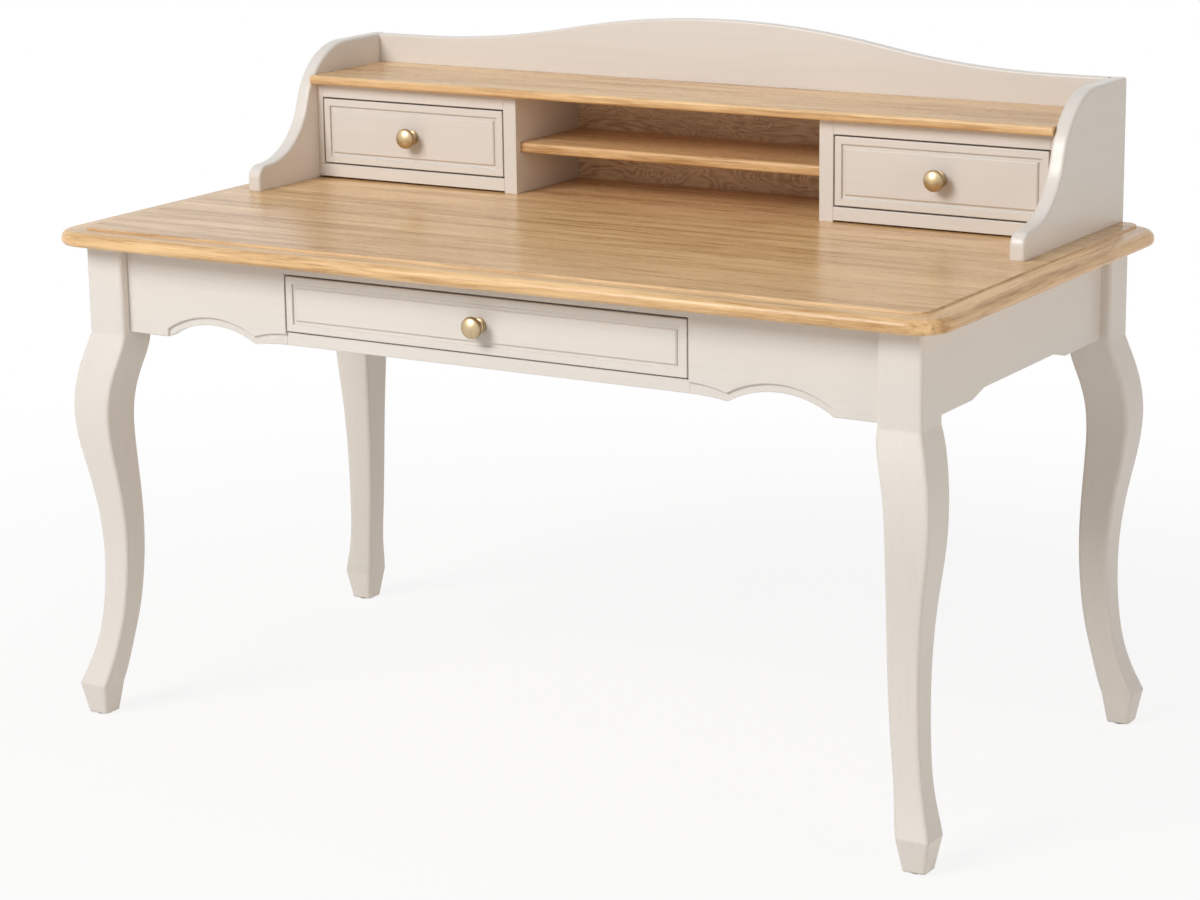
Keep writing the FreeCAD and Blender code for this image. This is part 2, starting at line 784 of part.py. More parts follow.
def make_crest():
    body = new_body("crest_board")
    arch_x = hutch_in_x - s.crest_flat
    run, rise = arch_x / 2, s.crest_rise / 2
    bend = sweep_radius(run, rise)
    outline = [
        (-hutch_in_x, shelf_top),
        (hutch_in_x, shelf_top),
        (hutch_in_x, hutch_top),
        (arch_x, hutch_top),
        (run, hutch_top + rise, bend, -1),
        (-run, hutch_top + rise, bend, 1),
        (-arch_x, hutch_top, bend, -1),
        (-hutch_in_x, hutch_top),
    ]
    extrude(body, "XZ_Plane", -hutch_back, outline, s.crest_thick)
    front = hutch_back - s.crest_thick

    def on_top(edge):
        on_face = lies_at(edge, "Y", front) or lies_at(edge, "Y", hutch_back)
        on_end = lies_at(edge, "X", hutch_in_x) or lies_at(edge, "X", -hutch_in_x)
        return on_face and not on_end and not lies_at(edge, "Z", shelf_top)

    soften(body, edges_where(body, on_top), s.crest_ease)
    return keep("crest_board", body)


def shelf_board(label, x, y, z, ease):
    """An oak shelf with a rounded front edge."""
    body = new_body(label, (x[0], y[0], z[0]))
    block(body, "AdditiveBox", x, y, z)

    def on_front(edge):
        return lies_at(edge, "Y", 0) and edge.BoundBox.XLength > edge.BoundBox.ZLength

    soften(body, edges_where(body, on_front), ease.at_most((z[1] - z[0]) * SHELF_ROUND_SHARE))
    return keep(label, body)


def make_hutch():
    end = make_hutch_end()
    crest = make_crest()
    inside, cell_z = (-hutch_in_x, hutch_in_x), (s.top_height, shelf_low)
    shelf_y = (hutch_back - s.shelf_depth, hutch_back)
    shelf = shelf_board("hutch_shelf", inside, shelf_y, (shelf_low, shelf_top), s.shelf_ease)
    board("hutch_back_panel", inside, (panel_face, hutch_back), cell_z)
    divider_y = (cell_face, panel_face)
    divider = board("hutch_divider_right", (cubby_x, divider_x), divider_y, cell_z, s.board_ease)
    housed = cubby_x + s.housing_depth
    cubby_y, cubby_z = (cubby_shelf_front, panel_face), (cubby_shelf_low, cubby_shelf_top)
    shelf_board("cubby_shelf", (-housed, housed), cubby_y, cubby_z, s.shelf_ease)
    past_cubby = (cubby_shelf_front, panel_face + s.overrun)
    block(divider, "SubtractiveBox", (cubby_x - s.overrun, housed), past_cubby, cubby_z)

    # frame of the right cell
    frame_y = (cell_face, cell_rail_back)
    stile = new_body("hutch_stile_right", (stile_x, cell_face, cell_low))
    block(stile, "AdditiveBox", (stile_x, hutch_in_x), frame_y, (cell_low, shelf_low))
    soften(stile, [], s.board_ease)
    pair("hutch_stiles", stile)
    top_z, low_z = (cell_top, shelf_low), (s.top_height + s.cell_floor_gap, cell_low)
    top_rail = board("hutch_top_rail_right", (divider_x, stile_x), frame_y, top_z, s.board_ease)
    low_rail = board("hutch_bottom_rail_right", (divider_x, hutch_in_x), frame_y, low_z, s.board_ease)

    # floor, guide and kickers of the right cell
    behind_rail = (cell_rail_back, panel_face)
    floor_x = (divider_x - s.housing_depth, hutch_in_x + s.housing_depth)
    floor_z = (cell_low - s.cell_floor_thick, cell_low)
    floor = board("hutch_floor_right", floor_x, behind_rail, floor_z)
    past_panel = (cell_rail_back, panel_face + s.overrun)
    block(divider, "SubtractiveBox", (floor_x[0], divider_x + s.overrun), past_panel, floor_z)
    block(end, "SubtractiveBox", (hutch_in_x - s.overrun, floor_x[1]), behind_rail, floor_z)
    guide = new_body("hutch_guide_right", (stile_x, cell_rail_back, cell_low))
    guide_z = (cell_low, cell_low + s.cell_guide_height)
    block(guide, "AdditiveBox", (stile_x, hutch_in_x), behind_rail, guide_z)
    pair("hutch_guides", guide)
    kickers = []
    for number, low_x in enumerate((divider_x, stile_x - s.cell_kicker_width)):
        kicker = new_body(f"hutch_kicker_right_{number}", (low_x, cell_rail_back, cell_top))
        block(kicker, "AdditiveBox", (low_x, low_x + s.cell_kicker_width), behind_rail, top_z)
        kickers += [kicker, mirrored(f"hutch_kicker_left_{number}", kicker)]
    group("hutch_kickers", kickers)

    for right in (top_rail, low_rail, floor):
        label = right.Label.replace("right", "left")
        keep(label, mirrored(label, right))
    return end, crest, shelf, divider


def fasten_hutch(top, end, crest, shelf, divider):
    """Screws into the dividers from below, and dowels for ends, shelf and crest."""
    divider_mid = (cubby_x + divider_x) / 2
    seat = top_under + s.screw_head_thick
    bore = s.screw_radius + s.hole_fit
    screws = []
    for number, share in enumerate(HUTCH_SCREW_SHARES):
        y = cell_face + (panel_face - cell_face) * share
        right = screw(f"hutch_screw_{number}", Z, (divider_mid, y, seat), s.hutch_screw_length)
        screws += [right, mirrored(f"hutch_screw_left_{number}", right)]
        reach = s.hutch_screw_length + s.hole_fit
        for x in (divider_mid, -divider_mid):
            hole(top, Z, (x, y, seat + reach / 2), reach, bore)
            sunk = s.screw_head_thick + s.overrun
            hole(top, Z, (x, y, seat - sunk / 2), sunk, s.screw_head + s.hole_fit)
        hole(divider, Z, (divider_mid, y, seat + reach / 2), reach, bore)
    group("hutch_screws", screws)

    end_mid, shelf_mid = hutch_in_x + s.end_thick / 2, (shelf_low + shelf_top) / 2
    pins = []
    for share in END_PIN_SHARES:
        pins.append((Z, end_mid, hutch_back - s.hutch_depth * share, s.top_height, (end, top)))
    for share in SHELF_PIN_SHARES:
        pins.append((X, hutch_in_x, hutch_back - s.shelf_depth * share, shelf_mid, (end, shelf)))
    for share in CREST_PIN_SHARES:
        pins.append((Z, hutch_in_x * share, hutch_back - s.crest_thick / 2, shelf_top, (crest, shelf)))
    reach, bore = s.pin_length + s.hole_fit * 2, s.pin_radius + s.hole_fit
    dowels = []
    for number, (direction, x, y, z, joined) in enumerate(pins):
        middles = ((x, y, z),) if crest in joined else ((x, y, z), (-x, y, z))
        for body in joined:
            for middle in middles[:1] if body is end else middles:
                hole(body, direction, middle, reach, bore)
        for side, middle in enumerate(middles):
            dowels.append(rod(f"hutch_dowel_{number}_{side}", direction, middle, s.pin_length, s.pin_radius))
    group("hutch_dowels", dowels)


# Drawers
def make_knob(label, x, face, z):
    """A flattened ball on a waisted neck and a round rose, turned about the Y axis."""
    body = new_body(label, (x, face, z))
    ball, bulge, shoulder = s.knob_radius, s.knob_bulge, s.knob_shoulder
    # the crown of the ball, and where it runs smoothly into the shoulder
    crown = (ball * ball - ball * shoulder * 2 + bulge * bulge) / ((bulge - shoulder) * 2)
    spread = crown / (crown - shoulder)
    meet_x, meet_y = (ball - shoulder) * spread, (crown - bulge) * (spread - 1)
    neck_end = s.knob_reach + crown - bulge - (crown * crown - s.knob_neck * s.knob_neck).root()
    cove = s.rose_radius - s.rose_ease - s.knob_neck
    bore, depth = s.screw_radius + s.hole_fit, s.knob_screw_bite + s.hole_fit
    outline = [
        (bore, 0),
        (s.rose_radius, 0),
        (s.rose_radius, s.rose_ease - s.rose_thick),
        (s.rose_radius - s.rose_ease, -s.rose_thick, s.rose_ease, -1),
        (s.knob_neck, -s.rose_thick - cove, cove, 1),
        (s.knob_neck, -neck_end),
        (meet_x, meet_y - s.knob_reach, crown, -1),
        (meet_x, -meet_y - s.knob_reach, shoulder, -1),
        (0, -s.knob_reach - bulge, crown, -1),
        (0, -depth),
        (bore, -depth),
    ]
    sketch = draw(sketch_on(body, "XY_Plane", 0), outline)
    made = feature(body, "Revolution")
    made.Profile = sketch
    made.ReferenceAxis = (next(f for f in body.Origin.OriginFeatures if f.Role == "Y_Axis"), [""])
    doc.recompute()
    return keep(label, body)


def shrink(span, by):
    return span[0] + by, span[1] - by


def make_drawer_front(label, x, y, z, floor_z):
    """A front with a flat border, a sunk groove and a bevelled field inside it."""
    body = board(label, x, y, z, s.front_ease)
    rim, field = s.border, s.border + s.groove_width
    sunk = y[0] + s.groove_depth
    block(body, "SubtractiveBox", shrink(x, rim), (y[0] - s.overrun, sunk), shrink(z, rim))
    block(body, "AdditiveBox", shrink(x, field), (y[0], sunk), shrink(z, field))
    inside = (field - s.groove_width / 2).value
    width = (x[1] - x[0]).value

    def on_field(edge):
        box = edge.BoundBox
        in_groove = min(box.XMin, box.ZMin, width - box.XMax) > inside
        return in_groove and lies_at(edge, "Y", 0)

    soften(body, edges_where(body, on_field), s.field_bevel.at_most(s.groove_depth * BEVEL_SHARE), "Chamfer")
    groove_x = shrink(x, s.bottom_groove)
    block(body, "SubtractiveBox", groove_x, (y[1] - s.bottom_groove, y[1] + s.overrun), floor_z)
    return body


def make_drawer(name, opening, low, high, face, front_thick, side_thick, back_end):
    """A drawer for the opening between these x faces and z levels; its front is flush with face."""
    x, z = shrink(opening, s.drawer_gap), shrink((low, high), s.drawer_gap)
    front_back = face + front_thick
    side_z = (low + s.drawer_slip, high - s.drawer_headroom)
    floor_low = side_z[0] + s.bottom_lift
    floor_z = (floor_low, floor_low + s.bottom_thick)
    inner_x = shrink(x, side_thick)
    floor_x = (inner_x[0] - s.bottom_groove, inner_x[1] + s.bottom_groove)
    along = (front_back, back_end)

    front = make_drawer_front(f"{name}_front", x, (face, front_back), z, floor_z)
    sides = []
    for number, span in enumerate(((x[0], inner_x[0]), (inner_x[1], x[1]))):
        side = new_body(f"{name}_side_{number}", (span[0], along[0], side_z[0]))
        block(side, "AdditiveBox", span, along, side_z)
        soften(side, [], s.board_ease)
        groove = (floor_x[0], inner_x[0] + s.overrun) if number == 0 else (inner_x[1] - s.overrun, floor_x[1])
        block(side, "SubtractiveBox", groove, (along[0] - s.overrun, along[1] + s.overrun), floor_z)
        sides.append(side)
    group(f"{name}_sides", sides)
    board(f"{name}_back", inner_x, (back_end - side_thick, back_end), (floor_z[1], side_z[1]), s.board_ease)
    board(f"{name}_bottom", floor_x, (front_back - s.bottom_groove, back_end), floor_z)

    knob_x, knob_z = (opening[0] + opening[1]) / 2, (low + high) / 2
    make_knob(f"{name}_knob", knob_x, face, knob_z)
    bore = s.screw_radius + s.hole_fit
    hole(front, Y, (knob_x, face + front_thick / 2, knob_z), front_thick + s.overrun * 2, bore)
    shank = front_thick + s.knob_screw_bite
    label = f"{name}_knob_screw"
    keep(label, screw(label, (0, -1, 0), (knob_x, front_back, knob_z), shank))


DRAWER_PIECES = ("front", "sides", "back", "bottom", "knob", "knob_screw")


def make_drawers():
    make_drawer(
        "centre_drawer", (-opening_x, opening_x), rail_top, opening_top,
        -apron_y, s.front_thick, s.side_thick, centre_drawer_back)
    make_drawer(
        "right_drawer", (divider_x, stile_x), cell_low, cell_top,
        cell_face, s.small_front_thick, s.small_side_thick, panel_face - s.drawer_slip)
    for piece in DRAWER_PIECES:
        label = f"left_drawer_{piece}"
        keep(label, mirrored(label, parts[f"right_drawer_{piece}"]))


def build():
    top = make_desk_top()
    make_legs()
    make_glides()
    front_apron = make_front_aprons()
    side_apron = make_side_apron()
    top_rail, low_rail, back_apron = make_rails()
    runner, kicker = make_runner(), make_kicker()
    make_stops()
    join_with_dowels(front_apron, top_rail, low_rail, back_apron, runner, kicker)
    make_corner_blocks(front_apron, side_apron, back_apron)
    make_top_screws(top, kicker)
    pair("drawer_kickers", kicker)
    end, crest, shelf, divider = make_hutch()
    fasten_hutch(top, end, crest, shelf, divider)
    for right in (front_apron, side_apron, runner, end, divider):
        label = right.Label.replace("right", "left")
        keep(label, mirrored(label, right))
    make_drawers()
    doc.recompute()


def check():
    """Stop if any object failed, or if any sub-part is not a sound solid."""
    failed = [o.Label for o in doc.Objects if {"Invalid", "Error"} & set(o.State)]
    if failed:
        raise RuntimeError(f"failed to build: {failed}")
    for label, thing in parts.items():
        if thing.Shape.isNull() or not thing.Shape.isValid() or not thing.Shape.Solids:
            raise RuntimeError(f"{label} is not a sound solid")


def write():
    os.makedirs("parts", exist_ok=True)
    for label, thing in parts.items():
        thing.Shape.exportStep(f"parts/{label}.step")
    print(len(parts), "sub-parts written")


build()
check()
write()
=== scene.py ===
"""Finishes a country writing desk in paint, oak and brass, and sets it in a small white studio."""
import math

import bpy
from bpy.props import FloatProperty, FloatVectorProperty, PointerProperty
from mathutils import Euler, Matrix, Vector


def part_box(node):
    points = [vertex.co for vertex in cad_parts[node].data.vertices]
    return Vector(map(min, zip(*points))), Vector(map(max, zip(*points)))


bl_info = {
    "name": "Country Writing Desk",
    "version": (1, 0, 0),
    "blender": (4, 5, 0),
    "location": "View3D > Sidebar > Desk",
    "description": "Paint, oak and brass for a writing desk with a hutch, and a studio to see it in",
    "category": "Material",
}

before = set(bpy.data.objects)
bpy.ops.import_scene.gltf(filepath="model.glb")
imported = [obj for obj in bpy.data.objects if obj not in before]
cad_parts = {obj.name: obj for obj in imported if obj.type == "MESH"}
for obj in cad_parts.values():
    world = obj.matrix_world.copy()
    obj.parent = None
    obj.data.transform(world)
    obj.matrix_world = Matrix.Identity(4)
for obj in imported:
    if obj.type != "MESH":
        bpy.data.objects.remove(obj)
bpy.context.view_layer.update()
top_low, top_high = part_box("desk_top")

# Pieces that share a finish
LEGS = ("leg_front_left", "leg_front_right", "leg_back_left", "leg_back_right")
LONG_APRONS = ("front_apron_left", "front_apron_right", "front_top_rail", "front_bottom_rail", "back_apron")
SIDE_APRONS = ("side_apron_left", "side_apron_right")
HUTCH_ENDS = ("hutch_side_left", "hutch_side_right")
HUTCH_DIVIDERS = ("hutch_divider_left", "hutch_divider_right")
HUTCH_RAILS = (
    "crest_board", "hutch_top_rail_left", "hutch_top_rail_right",
    "hutch_bottom_rail_left", "hutch_bottom_rail_right",
)
DRAWERS = ("centre_drawer", "left_drawer", "right_drawer")
RUNNERS = ("drawer_runner_left", "drawer_runner_right", "drawer_kickers", "hutch_guides", "hutch_kickers")
FLOORS = ("hutch_floor_left", "hutch_floor_right", "drawer_stops")
DOWELS = ("rail_dowels", "hutch_dowels")
FASTENERS = ("leg_bolts", "leg_nuts", "corner_block_screws", "top_screws", "hutch_screws")

# Small sizes of the finishes, in metres
PINE_DEPTH = 0.00008
PLY_DEPTH = 0.00006
BRASS_DEPTH = 0.00001
MITRE_HALF = 0.0002

# How far the lipping's grain is moved along and across, so that it comes from another board
LIPPING_ALONG = 3.7
LIPPING_ACROSS = 1.9

# Agreement of the rounded and the flat normal where an edge begins and where it is full
EDGE_BEGINS = 0.985
EDGE_FULL = 0.80

# Rays that round an edge over
EDGE_SAMPLES = 4

# Colours of lamps and room, and the floor, whose size is in metres
WHITE = (1.0, 1.0, 1.0)
WARM_WHITE = (1.0, 0.91, 0.81)
FLOOR_COLOUR = (0.84, 0.81, 0.77)
FLOOR_SIZE = 60.0

# Share of the lit floor, with its shadow, that shows by the desk, and the distances between which it fades
SHADOW_SHARE = 0.13
SHADOW_FADES = (0.7, 2.6)

# The point that the lamps face, and the width of the camera's sensor in millimetres
LAMPS_FACE = Vector((0.0, 0.0, 0.6))
SENSOR_WIDTH = 36.0


# Shader maths
class Wire:
    """An output of a node, so that sums on shader values read as Python."""

    def __init__(self, nodes, socket):
        self.nodes = nodes
        self.socket = socket

    def maths(self, operation, first, second=0.0):
        return self.nodes.add("ShaderNodeMath", {"operation": operation}, {0: first, 1: second})

    def __add__(self, other):
        return self.maths("ADD", self, other)

    def __radd__(self, other):
        return self.maths("ADD", other, self)

    def __sub__(self, other):
        return self.maths("SUBTRACT", self, other)

    def __rsub__(self, other):
        return self.maths("SUBTRACT", other, self)

    def __mul__(self, other):
        return self.maths("MULTIPLY", self, other)

    def __rmul__(self, other):
        return self.maths("MULTIPLY", other, self)

    def __truediv__(self, other):
        return self.maths("DIVIDE", self, other)

    def __rtruediv__(self, other):
        return self.maths("DIVIDE", other, self)

    def __abs__(self):
        return self.maths("ABSOLUTE", self)

    def larger(self, other):
        return self.maths("MAXIMUM", self, other)

    def beside(self, name):
        """Another output of the same node."""
        return Wire(self.nodes, self.socket.node.outputs[name])


class Nodes:
    """The nodes of a material or of the world, added one by one."""

    def __init__(self, owner):
        owner.use_nodes = True
        self.owner = owner
        self.tree = owner.node_tree
        self.tree.nodes.clear()

    def add(self, kind, settings=None, inputs=None, output=0):
        """Add a node: its settings, then each socket's value or link, by identifier, name or number."""
        made = self.tree.nodes.new(kind)
        for name, value in (settings or {}).items():
            if name == "stops":
                self.set_stops(made.color_ramp.elements, value)
            else:
                setattr(made, name, value)
        for key, value in (inputs or {}).items():
            socket = next((s for s in made.inputs if s.identifier == key), None) or made.inputs[key]
            if isinstance(value, Wire):
                self.tree.links.new(value.socket, socket)
            else:
                socket.default_value = value
        return Wire(self, made.outputs[output]) if made.outputs else None

    @staticmethod
    def set_stops(elements, stops):
        while len(elements) < len(stops):
            elements.new(1.0)
        for element, (position, colour) in zip(elements, stops):
            element.position = position
            element.color = colour


class Finish(Nodes):
    """A material that is patterned by where a point lies on the desk."""

    def __init__(self, name):
        super().__init__(bpy.data.materials.new(name))
        self.place = self.add("ShaderNodeTexCoord", output="Object")

    def split(self, vector, axis):
        return self.add("ShaderNodeSeparateXYZ", None, {"Vector": vector}, axis)

    def noise(self, swells, detail=2.0, roughness=0.5, distortion=0.0, place=None):
        """Noise around 0.5, with this many swells to a metre along each axis."""
        mapped = self.add("ShaderNodeMapping", None, {"Vector": place or self.place, "Scale": swells})
        inputs = {
            "Vector": mapped, "Scale": 1.0,
            "Detail": detail, "Roughness": roughness, "Distortion": distortion,
        }
        return self.add("ShaderNodeTexNoise", None, inputs, "Fac")

    def even_noise(self, swells, detail=2.0, roughness=0.5):
        return self.noise((swells, swells, swells), detail, roughness)

    def rise(self, value, low, high):
        """0 at low, 1 at high and a smooth rise between them."""
        inputs = {"Value": value, "From Min": low, "From Max": high}
        return self.add("ShaderNodeMapRange", {"interpolation_type": "SMOOTHSTEP"}, inputs)

    def ramp(self, value, *stops):
        return self.add("ShaderNodeValToRGB", {"stops": stops}, {"Fac": value}, "Color")

    def mix(self, share, first, second):
        inputs = {"Factor_Float": share, "A_Color": first, "B_Color": second}
        return self.add("ShaderNodeMix", {"data_type": "RGBA"}, inputs, 2)

    def bump(self, height, depth, normal=None):
        inputs = {"Height": height, "Distance": depth}
        if normal:
            inputs["Normal"] = normal
        return self.add("ShaderNodeBump", None, inputs)

    def eased(self, radius):
        """The normal with sharp edges rounded over, and a value that is 1 along them and 0 elsewhere."""
        rounded = self.add("ShaderNodeBevel", {"samples": EDGE_SAMPLES}, {"Radius": radius})
        flat = self.add("ShaderNodeNewGeometry", output="Normal")
        inputs = {0: rounded, 1: flat}
        agreement = self.add("ShaderNodeVectorMath", {"operation": "DOT_PRODUCT"}, inputs, "Value")
        return rounded, self.rise(agreement, EDGE_BEGINS, EDGE_FULL)

    def facing(self, axis):
        """How far the surface faces along an axis, from -1 to 1."""
        return self.split(self.add("ShaderNodeNewGeometry", output="Normal"), axis)

    def close(self, sockets):
        """End the material in one surface shader, and give it back."""
        shader = self.add("ShaderNodeBsdfPrincipled", None, sockets)
        self.add("ShaderNodeOutputMaterial", None, {"Surface": shader})
        return self.owner


def swells_along(axis, along, across):
    """Swells to a metre of a grain that runs along one axis."""
    return tuple(along if name == axis else across for name in "XYZ")


def tint(colour, factor=1.0):
    return (*(channel * factor for channel in colour), 1.0)


def between(first, second, share):
    return tuple(a + (b - a) * share for a, b in zip(first, second))


def wear(material, *names):
    """Give these pieces a finish in place of their plain one."""
    for name in names:
        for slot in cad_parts[name].material_slots:
            slot.material = material


# Values that a user would change
class DeskPaint(bpy.types.PropertyGroup):
    colour: FloatVectorProperty(
        name="Colour", description="Satin paint on the stand, the hutch and the drawers",
        subtype="COLOR", size=3, default=(0.737, 0.689, 0.638), min=0.0, max=1.0)
    roughness: FloatProperty(
        name="Roughness", description="How dull the paint is",
        subtype="FACTOR", default=0.31, min=0.0, max=1.0)
    # This width also sets where the paint is painted lighter, as a painted highlight along the edges.
    edge: FloatProperty(
        name="Edge", description="Width of the worn edges",
        unit="LENGTH", default=0.0015, min=0.0, max=0.01, precision=5)
    # This width also sets where the legs and the hutch's ends are painted lighter, as a painted highlight
    # along the edges.
    leg_edge: FloatProperty(
        name="Leg edge", description="Width of the worn edges of the legs and the hutch's ends",
        unit="LENGTH", default=0.005, min=0.0, max=0.02, precision=5)
    grain_depth: FloatProperty(
        name="Grain depth", description="How deep the grain of the wood shows in the paint",
        unit="LENGTH", default=0.00003, min=0.0, max=0.001, precision=6)


class DeskOak(bpy.types.PropertyGroup):
    pale: FloatVectorProperty(
        name="Pale", description="Early wood",
        subtype="COLOR", size=3, default=(0.870, 0.590, 0.306), min=0.0, max=1.0)
    dark: FloatVectorProperty(
        name="Dark", description="Late wood",
        subtype="COLOR", size=3, default=(0.436, 0.223, 0.079), min=0.0, max=1.0)
    pore: FloatVectorProperty(
        name="Pores", description="Open pores",
        subtype="COLOR", size=3, default=(0.230, 0.112, 0.040), min=0.0, max=1.0)
    limed: FloatVectorProperty(
        name="Limed", description="Pale tone that the veneer of the hutch's back leans to",
        subtype="COLOR", size=3, default=(0.820, 0.850, 0.800), min=0.0, max=1.0)
    roughness: FloatProperty(
        name="Roughness", description="How dull the varnish is",
        subtype="FACTOR", default=0.24, min=0.0, max=1.0)
    gloss: FloatProperty(
        name="Gloss", description="How strongly the varnish mirrors",
        subtype="FACTOR", default=0.32, min=0.0, max=1.0)
    # This width also sets where the oak is painted paler, as a painted highlight along the edges.
    edge: FloatProperty(
        name="Edge", description="Width of the worn edges",
        unit="LENGTH", default=0.002, min=0.0, max=0.01, precision=5)
    pore_depth: FloatProperty(
        name="Pore depth", description="How deep the pores are",
        unit="LENGTH", default=0.00005, min=0.0, max=0.001, precision=6)
    lipping: FloatProperty(
        name="Lipping", description="Width of the strips that edge the top, whose grain follows the edge",
        unit="LENGTH", default=0.035, min=0.0, max=0.2)


class DeskInnerWood(bpy.types.PropertyGroup):
    pale: FloatVectorProperty(
        name="Pale", description="Early wood of the pine",
        subtype="COLOR", size=3, default=(0.690, 0.520, 0.330), min=0.0, max=1.0)
    dark: FloatVectorProperty(
        name="Dark", description="Growth rings of the pine",
        subtype="COLOR", size=3, default=(0.460, 0.275, 0.130), min=0.0, max=1.0)
    ply: FloatVectorProperty(
        name="Plywood", description="Face of the drawer bottoms",
        subtype="COLOR", size=3, default=(0.690, 0.545, 0.365), min=0.0, max=1.0)
    ply_thick: FloatProperty(
        name="Ply thickness", description="One layer of the plywood",
        unit="LENGTH", default=0.00125, min=0.0002, max=0.01, precision=5)


class DeskHardware(bpy.types.PropertyGroup):
    brass: FloatVectorProperty(
        name="Brass", description="Satin brass of the knobs",
        subtype="COLOR", size=3, default=(0.585, 0.455, 0.280), min=0.0, max=1.0)
    # This dark colour of the brass serves both the cloudy tarnished patches and the painted shade on the
    # knobs' rims.
    tarnish_and_rim_shade: FloatVectorProperty(
        name="Tarnish", description="Where the brass has dulled",
        subtype="COLOR", size=3, default=(0.275, 0.192, 0.100), min=0.0, max=1.0)
    zinc: FloatVectorProperty(
        name="Zinc", description="Plating of bolts and screws",
        subtype="COLOR", size=3, default=(0.600, 0.600, 0.580), min=0.0, max=1.0)
    nylon: FloatVectorProperty(
        name="Nylon", description="Foot glides",
        subtype="COLOR", size=3, default=(0.045, 0.042, 0.040), min=0.0, max=1.0)


class DeskStudio(bpy.types.PropertyGroup):
    camera_place: FloatVectorProperty(
        name="Camera place", description="Where the camera stands",
        subtype="TRANSLATION", unit="LENGTH", size=3, default=(2.470256, -4.093447, 1.613556), precision=5)
    azimuth: FloatProperty(
        name="Azimuth", description="How far round to the right the camera stands",
        subtype="ANGLE", default=math.radians(31.177))
    elevation: FloatProperty(
        name="Elevation", description="How far the camera looks down",
        subtype="ANGLE", default=math.radians(14.012))
    roll: FloatProperty(
        name="Roll", description="How far the camera leans",
        subtype="ANGLE", default=math.radians(-0.777))
    lens: FloatProperty(
        name="Lens", description="Focal length on the camera's sensor",
        subtype="DISTANCE_CAMERA", default=98.51, min=1.0)
    key_power: FloatProperty(
        name="Key light", description="Softbox at the front left",
        subtype="POWER", default=394.0, min=0.0)
    fill_power: FloatProperty(
        name="Fill light", description="Softbox at the right",
        subtype="POWER", default=68.0, min=0.0)
    top_power: FloatProperty(
        name="Top light", description="Softbox overhead",
        subtype="POWER", default=14.0, min=0.0)
    back_power: FloatProperty(
        name="Back light", description="Softbox behind the desk",
        subtype="POWER", default=80.0, min=0.0)
    room: FloatProperty(
        name="Room light", description="Even light from all round",
        subtype="FACTOR", default=0.27, min=0.0, max=1.0)


SETTINGS = {
    "desk_paint": DeskPaint,
    "desk_oak": DeskOak,
    "desk_inner_wood": DeskInnerWood,
    "desk_hardware": DeskHardware,
    "desk_studio": DeskStudio,
}


# Finishes
def oyster_paint(name, props, grain_axis, edge_width, bare=None):
    """Satin paint in which the board's grain shows faintly; bare wood on a drawer front's inner face."""
    f = Finish(name)
    grain = f.noise(swells_along(grain_axis, 6.0, 190.0), detail=4.0, roughness=0.6, distortion=0.3)
    cloud = f.even_noise(3.0)
    peel = f.even_noise(380.0, detail=1.0)
    thin, plain, thick = tint(props.colour, 0.965), tint(props.colour), tint(props.colour, 1.025)
    colour = f.ramp(grain * 0.55 + cloud * 0.45, (0.30, thin), (0.50, plain), (0.70, thick))
    rounded, edge = f.eased(edge_width)
    # The paint is painted lighter along its edges, as a painted highlight on the arrises.
    painted_edge_highlight = edge * f.rise(cloud, 0.30, 0.65) * 0.6
    colour = f.mix(painted_edge_highlight, colour, tint(props.colour, 1.09))
    roughness = props.roughness - 0.08 + cloud * 0.10 + peel * 0.06 - edge * 0.05
    if bare:
        inside = f.rise(f.facing("Y"), 0.6, 0.9)
        wood = f.ramp(grain, (0.30, tint(bare.dark)), (0.62, tint(bare.pale)))
        colour = f.mix(inside, colour, wood)
        roughness = roughness + inside * 0.2
    normal = f.bump(grain * 0.75 + peel * 0.25, props.grain_depth, rounded)
    return f.close({"Base Color": colour, "Roughness": roughness, "Normal": normal})


def turn_at_lipping(f, width):
    """Coordinates of the top whose grain turns to follow its side edges, mitred at the front corners."""
    x, y, z = (f.split(f.place, axis) for axis in "XYZ")
    past_side = abs(x) - (top_high.x - width)
    past_front = (top_low.y + width) - y
    on_side = f.rise(past_side - past_front.larger(0.0), -MITRE_HALF, MITRE_HALF)
    turned = f.add("ShaderNodeCombineXYZ", None, {"X": y + LIPPING_ALONG, "Y": x + LIPPING_ACROSS, "Z": z})
    inputs = {"Factor_Float": on_side, "A_Vector": f.place, "B_Vector": turned}
    return f.add("ShaderNodeMix", {"data_type": "VECTOR"}, inputs, 1)


